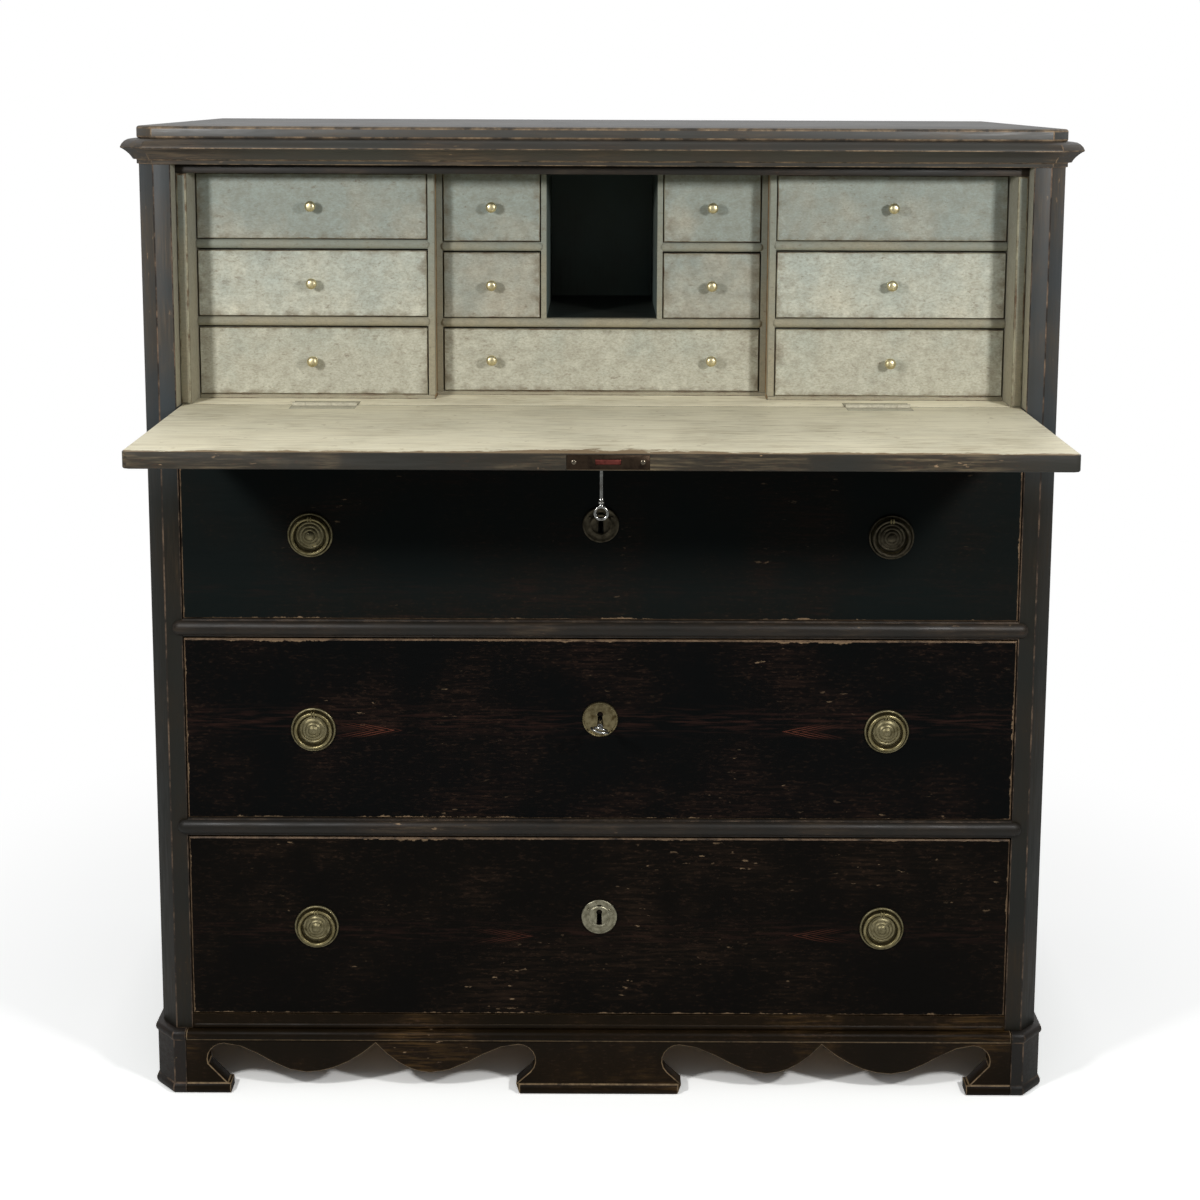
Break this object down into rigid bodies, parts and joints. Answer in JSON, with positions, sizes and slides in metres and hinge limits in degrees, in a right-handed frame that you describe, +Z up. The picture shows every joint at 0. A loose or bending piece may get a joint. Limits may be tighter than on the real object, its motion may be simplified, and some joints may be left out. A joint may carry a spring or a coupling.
{
  "type": "writing bureau",
  "caption": "Painted wooden writing bureau with canted corners, a lockable fall flap over a gallery of small drawers, long drawers with ring pulls below, and a shaped apron.",
  "frame": {"origin": "on the floor, midway between the sides and midway between the front edge of the open flap and the back", "axes": "+X to the right as seen from the front, +Y from the front to the back, +Z up"},
  "size_m": [1.055, 0.7158, 1.1153],
  "materials": {
    "black_paint": "worn black paint on pine, rubbed through to tan wood along the edges",
    "pale_paint": "distressed grey-green paint on pine",
    "cream_paint": "worn cream paint on pine",
    "bare_pine": "bare aged pine",
    "aged_brass": "aged cast brass",
    "dark_iron": "dark brown iron",
    "key_steel": "worn steel"
  },
  "bodies": {
    "carcase": {"side_left": "black_paint", "side_right": "black_paint", "post_left": "black_paint", "post_right": "black_paint", "plinth_left": "black_paint", "plinth_right": "black_paint", "plinth_front": "black_paint", "bottom_board": "black_paint", "drawer_rail_lower": "black_paint", "drawer_rail_upper": "black_paint", "desk_rail": "black_paint", "top_rail": "black_paint", "cornice": "black_paint", "top_board": "black_paint", "back_panel": "bare_pine", "desk_floor": "pale_paint", "gallery_top": "pale_paint", "gallery_back": "pale_paint", "gallery_centre": "pale_paint", "gallery_bank_left": "pale_paint", "gallery_bank_right": "pale_paint", "hinge_left": "dark_iron", "hinge_right": "dark_iron"},
    "flap": {"flap": "cream_paint", "hinge_flap_left": "dark_iron", "hinge_flap_right": "dark_iron", "flap_lock": "dark_iron", "flap_escutcheon": "aged_brass"},
    "flap_bolt": {"flap_bolt": "dark_iron"},
    "flap_key": {"flap_key": "key_steel"},
    "drawer_upper": {"drawer_upper": "black_paint", "escutcheon_upper": "aged_brass", "pull_plate_upper_left": "aged_brass", "pull_plate_upper_right": "aged_brass"},
    "ring_upper_left": {"pull_ring_upper_left": "aged_brass"},
    "ring_upper_right": {"pull_ring_upper_right": "aged_brass"},
    "drawer_middle": {"drawer_middle": "black_paint", "escutcheon_middle": "aged_brass", "pull_plate_middle_left": "aged_brass", "pull_plate_middle_right": "aged_brass"},
    "ring_middle_left": {"pull_ring_middle_left": "aged_brass"},
    "ring_middle_right": {"pull_ring_middle_right": "aged_brass"},
    "drawer_key": {"drawer_key": "key_steel"},
    "drawer_lower": {"drawer_lower": "black_paint", "escutcheon_lower": "aged_brass", "pull_plate_lower_left": "aged_brass", "pull_plate_lower_right": "aged_brass"},
    "ring_lower_left": {"pull_ring_lower_left": "aged_brass"},
    "ring_lower_right": {"pull_ring_lower_right": "aged_brass"},
    "bank_drawer_left_upper": {"bank_drawer_left_upper": "pale_paint"},
    "bank_drawer_left_middle": {"bank_drawer_left_middle": "pale_paint"},
    "bank_drawer_left_lower": {"bank_drawer_left_lower": "pale_paint"},
    "bank_drawer_right_upper": {"bank_drawer_right_upper": "pale_paint"},
    "bank_drawer_right_middle": {"bank_drawer_right_middle": "pale_paint"},
    "bank_drawer_right_lower": {"bank_drawer_right_lower": "pale_paint"},
    "small_drawer_left_upper": {"small_drawer_left_upper": "pale_paint"},
    "small_drawer_left_lower": {"small_drawer_left_lower": "pale_paint"},
    "small_drawer_right_upper": {"small_drawer_right_upper": "pale_paint"},
    "small_drawer_right_lower": {"small_drawer_right_lower": "pale_paint"},
    "wide_drawer": {"wide_drawer": "pale_paint"}
  },
  "joints": [
    {"name": "flap_hinge", "type": "hinge", "parent": "carcase", "child": "flap", "pos_m": [0, -0.0906, 0.8055], "axis": [1, 0, 0], "range_deg": [-90, 0]},
    {"name": "flap_key_turn", "type": "hinge", "parent": "flap", "child": "flap_key", "pos_m": [0, -0.3269, 0.7885], "axis": [0, 0, 1], "range_deg": [0, 96]},
    {"name": "flap_bolt_slide", "type": "slide", "parent": "flap", "child": "flap_bolt", "axis": [0, -1, 0], "range_m": [0, 0.008]},
    {"name": "drawer_upper_slide", "type": "slide", "parent": "carcase", "child": "drawer_upper", "axis": [0, -1, 0], "range_m": [0, 0.195]},
    {"name": "drawer_middle_slide", "type": "slide", "parent": "carcase", "child": "drawer_middle", "axis": [0, -1, 0], "range_m": [0, 0.33]},
    {"name": "drawer_lower_slide", "type": "slide", "parent": "carcase", "child": "drawer_lower", "axis": [0, -1, 0], "range_m": [0, 0.33]},
    {"name": "ring_upper_left_lift", "type": "hinge", "parent": "drawer_upper", "child": "ring_upper_left", "pos_m": [-0.3245, -0.1159, 0.6811], "axis": [-1, 0, 0], "range_deg": [0, 90]},
    {"name": "ring_upper_right_lift", "type": "hinge", "parent": "drawer_upper", "child": "ring_upper_right", "pos_m": [0.3245, -0.1159, 0.6811], "axis": [-1, 0, 0], "range_deg": [0, 90]},
    {"name": "ring_middle_left_lift", "type": "hinge", "parent": "drawer_middle", "child": "ring_middle_left", "pos_m": [-0.3245, -0.1159, 0.45555], "axis": [-1, 0, 0], "range_deg": [0, 90]},
    {"name": "ring_middle_right_lift", "type": "hinge", "parent": "drawer_middle", "child": "ring_middle_right", "pos_m": [0.3245, -0.1159, 0.45555], "axis": [-1, 0, 0], "range_deg": [0, 90]},
    {"name": "ring_lower_left_lift", "type": "hinge", "parent": "drawer_lower", "child": "ring_lower_left", "pos_m": [-0.3245, -0.1159, 0.22025], "axis": [-1, 0, 0], "range_deg": [0, 90]},
    {"name": "ring_lower_right_lift", "type": "hinge", "parent": "drawer_lower", "child": "ring_lower_right", "pos_m": [0.3245, -0.1159, 0.22025], "axis": [-1, 0, 0], "range_deg": [0, 90]},
    {"name": "drawer_key_turn", "type": "hinge", "parent": "drawer_middle", "child": "drawer_key", "pos_m": [0, -0.1119, 0.44965], "axis": [0, -1, 0], "range_deg": [0, 90]},
    {"name": "bank_left_upper_slide", "type": "slide", "parent": "carcase", "child": "bank_drawer_left_upper", "axis": [0, -1, 0], "range_m": [0, 0.16]},
    {"name": "bank_left_middle_slide", "type": "slide", "parent": "carcase", "child": "bank_drawer_left_middle", "axis": [0, -1, 0], "range_m": [0, 0.16]},
    {"name": "bank_left_lower_slide", "type": "slide", "parent": "carcase", "child": "bank_drawer_left_lower", "axis": [0, -1, 0], "range_m": [0, 0.16]},
    {"name": "bank_right_upper_slide", "type": "slide", "parent": "carcase", "child": "bank_drawer_right_upper", "axis": [0, -1, 0], "range_m": [0, 0.16]},
    {"name": "bank_right_middle_slide", "type": "slide", "parent": "carcase", "child": "bank_drawer_right_middle", "axis": [0, -1, 0], "range_m": [0, 0.16]},
    {"name": "bank_right_lower_slide", "type": "slide", "parent": "carcase", "child": "bank_drawer_right_lower", "axis": [0, -1, 0], "range_m": [0, 0.16]},
    {"name": "small_left_upper_slide", "type": "slide", "parent": "carcase", "child": "small_drawer_left_upper", "axis": [0, -1, 0], "range_m": [0, 0.16]},
    {"name": "small_left_lower_slide", "type": "slide", "parent": "carcase", "child": "small_drawer_left_lower", "axis": [0, -1, 0], "range_m": [0, 0.16]},
    {"name": "small_right_upper_slide", "type": "slide", "parent": "carcase", "child": "small_drawer_right_upper", "axis": [0, -1, 0], "range_m": [0, 0.16]},
    {"name": "small_right_lower_slide", "type": "slide", "parent": "carcase", "child": "small_drawer_right_lower", "axis": [0, -1, 0], "range_m": [0, 0.16]},
    {"name": "wide_drawer_slide", "type": "slide", "parent": "carcase", "child": "wide_drawer", "axis": [0, -1, 0], "range_m": [0, 0.16]}
  ],
  "couplings": [
    {"joint": "flap_key_turn", "follows": "flap_bolt_slide", "rad_per_m": 196.35}
  ]
}
